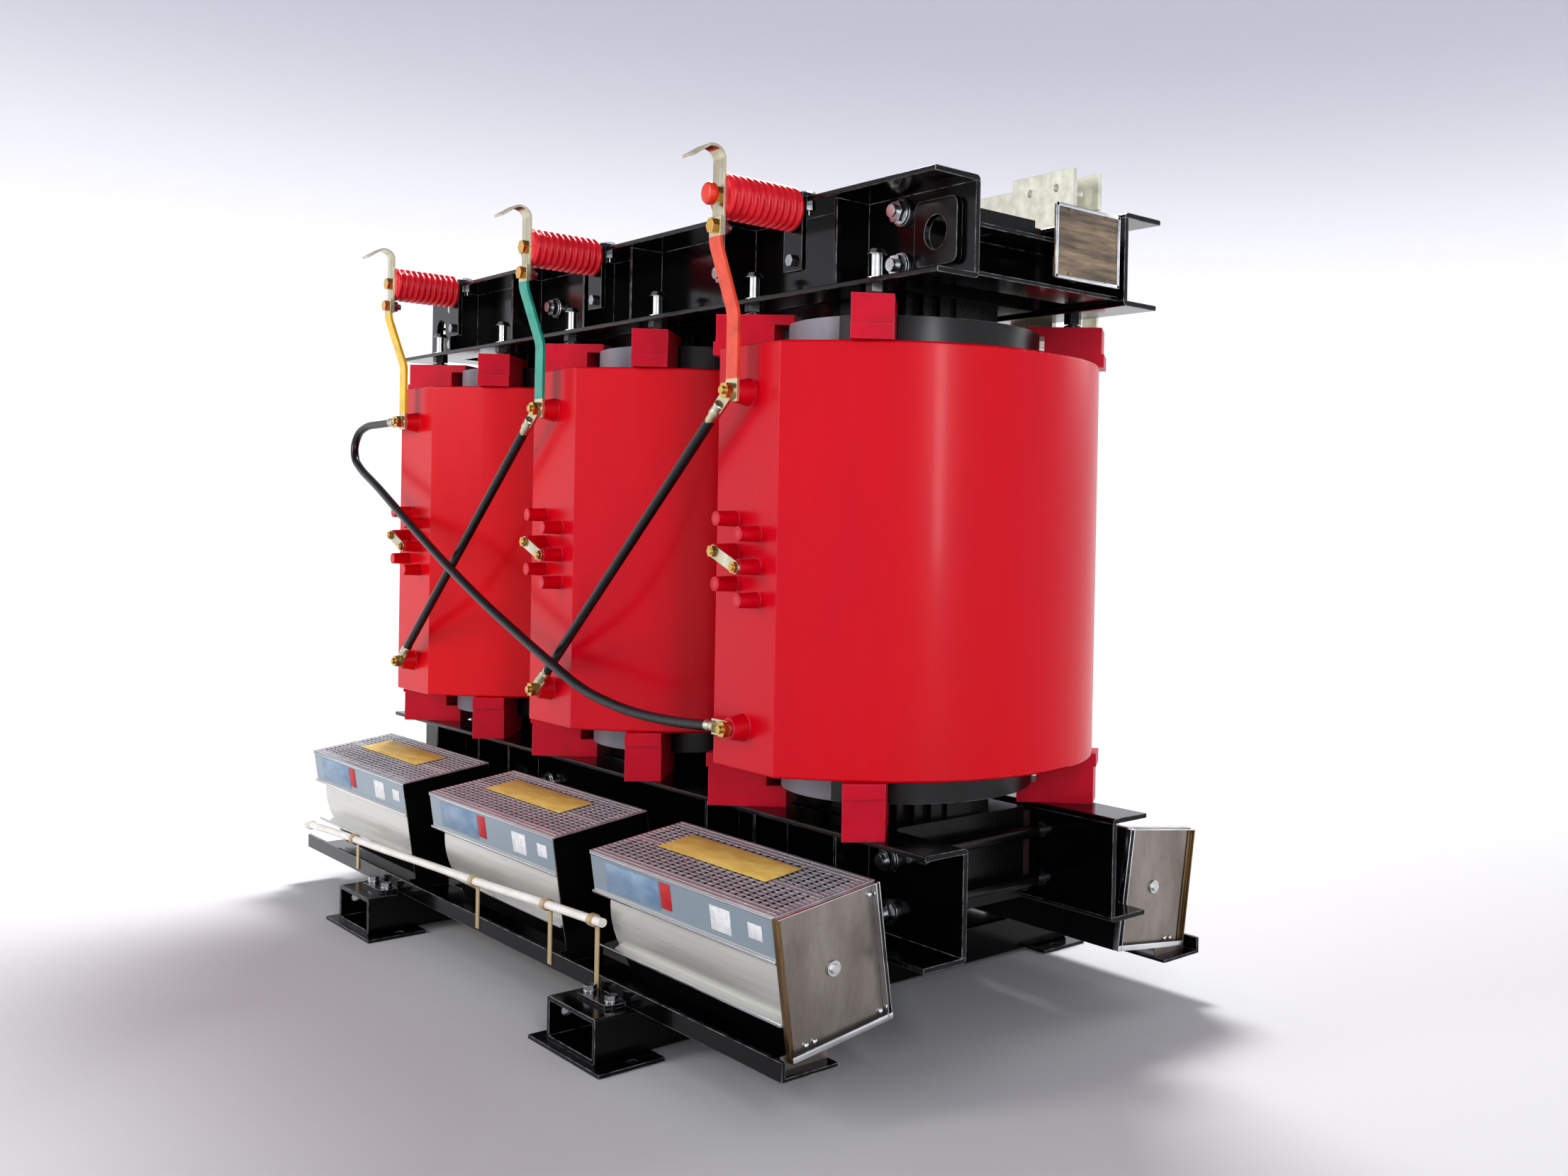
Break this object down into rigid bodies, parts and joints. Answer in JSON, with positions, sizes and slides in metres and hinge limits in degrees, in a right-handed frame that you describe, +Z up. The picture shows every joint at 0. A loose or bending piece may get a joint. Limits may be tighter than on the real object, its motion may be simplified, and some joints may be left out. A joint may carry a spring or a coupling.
{
  "type": "dry-type transformer",
  "caption": "Open three-phase cast-resin dry-type transformer on two feet, with cross-flow cooling fans, front high-voltage insulators and rear low-voltage bars.",
  "frame": {"origin": "on the floor under the middle of the footprint", "axes": "+X along the row of coils from phase A to phase C, -Y the high-voltage front, +Y the low-voltage rear, +Z up"},
  "size_m": [1.924, 1, 1.441],
  "materials": {
    "black_core": "gloss",
    "laminate": "matt board",
    "black_frame": "gloss enamel",
    "zinc_steel": "zinc plated",
    "red_resin": "gloss cast resin",
    "lv_aluminium": "satin",
    "brass": "satin",
    "tinned_copper": "tinned",
    "link_red": "heat-shrink sleeve",
    "link_green": "heat-shrink sleeve",
    "link_yellow": "heat-shrink sleeve",
    "black_sleeve": "sleeve",
    "galvanised_sheet": "galvanised",
    "motor_steel": "plain",
    "rotor_aluminium": "plain",
    "white_tube": "plain",
    "plate_brown": "printed plate"
  },
  "bodies": {
    "transformer": {"coil_pads_lower": "red_resin", "coil_pads_upper": "red_resin", "core_limb_a": "black_core", "core_limb_b": "black_core", "core_limb_c": "black_core", "core_yoke_lower": "black_core", "core_yoke_upper": "black_core", "delta_link_ac": "black_sleeve", "delta_link_ba": "black_sleeve", "delta_link_cb": "black_sleeve", "fan_casings_front": "galvanised_sheet", "fan_casings_rear": "galvanised_sheet", "fan_conduit": "white_tube", "fan_end_plates": "galvanised_sheet", "fan_grilles": "galvanised_sheet", "fan_motors": "motor_steel", "fan_rail_front": "black_frame", "fan_rail_rear": "black_frame", "foot_left": "black_frame", "foot_plates": "black_frame", "foot_right": "black_frame", "frame_bolts": "zinc_steel", "hv_coil_a": "red_resin", "hv_coil_b": "red_resin", "hv_coil_c": "red_resin", "hv_insulator_a": "red_resin", "hv_insulator_b": "red_resin", "hv_insulator_c": "red_resin", "hv_studs": "brass", "hv_terminal_a": "tinned_copper", "hv_terminal_b": "tinned_copper", "hv_terminal_c": "tinned_copper", "insulator_brackets": "black_frame", "jack_bolts": "zinc_steel", "lifting_lugs": "black_frame", "lower_clamp_front": "black_frame", "lower_clamp_rear": "black_frame", "lv_coil_a": "lv_aluminium", "lv_coil_b": "lv_aluminium", "lv_coil_c": "lv_aluminium", "lv_insulators": "red_resin", "lv_neutral_bar": "tinned_copper", "lv_terminal_bars": "tinned_copper", "phase_link_a": "link_yellow", "phase_link_b": "link_green", "phase_link_c": "link_red", "rating_plate": "plate_brown", "tap_links": "brass", "terminal_bolts": "zinc_steel", "tie_rods": "zinc_steel", "upper_clamp_front": "black_frame", "upper_clamp_rear": "black_frame", "upper_end_ties": "black_frame", "yoke_insulation": "laminate"},
    "rotor_front_a": {"fan_impeller_front_a": "rotor_aluminium"},
    "rotor_front_b": {"fan_impeller_front_b": "rotor_aluminium"},
    "rotor_front_c": {"fan_impeller_front_c": "rotor_aluminium"},
    "rotor_rear_a": {"fan_impeller_rear_a": "rotor_aluminium"},
    "rotor_rear_b": {"fan_impeller_rear_b": "rotor_aluminium"},
    "rotor_rear_c": {"fan_impeller_rear_c": "rotor_aluminium"}
  },
  "joints": [
    {"name": "fan_front_a_spin", "type": "hinge", "parent": "transformer", "child": "rotor_front_a", "pos_m": [-0.634, -0.32947, 0.20049], "axis": [1, 0, 0], "continuous": true},
    {"name": "fan_front_b_spin", "type": "hinge", "parent": "transformer", "child": "rotor_front_b", "pos_m": [0, -0.32947, 0.20049], "axis": [1, 0, 0], "continuous": true},
    {"name": "fan_front_c_spin", "type": "hinge", "parent": "transformer", "child": "rotor_front_c", "pos_m": [0.634, -0.32947, 0.20049], "axis": [1, 0, 0], "continuous": true},
    {"name": "fan_rear_a_spin", "type": "hinge", "parent": "transformer", "child": "rotor_rear_a", "pos_m": [-0.634, 0.32947, 0.20049], "axis": [1, 0, 0], "continuous": true},
    {"name": "fan_rear_b_spin", "type": "hinge", "parent": "transformer", "child": "rotor_rear_b", "pos_m": [0, 0.32947, 0.20049], "axis": [1, 0, 0], "continuous": true},
    {"name": "fan_rear_c_spin", "type": "hinge", "parent": "transformer", "child": "rotor_rear_c", "pos_m": [0.634, 0.32947, 0.20049], "axis": [1, 0, 0], "continuous": true}
  ]
}
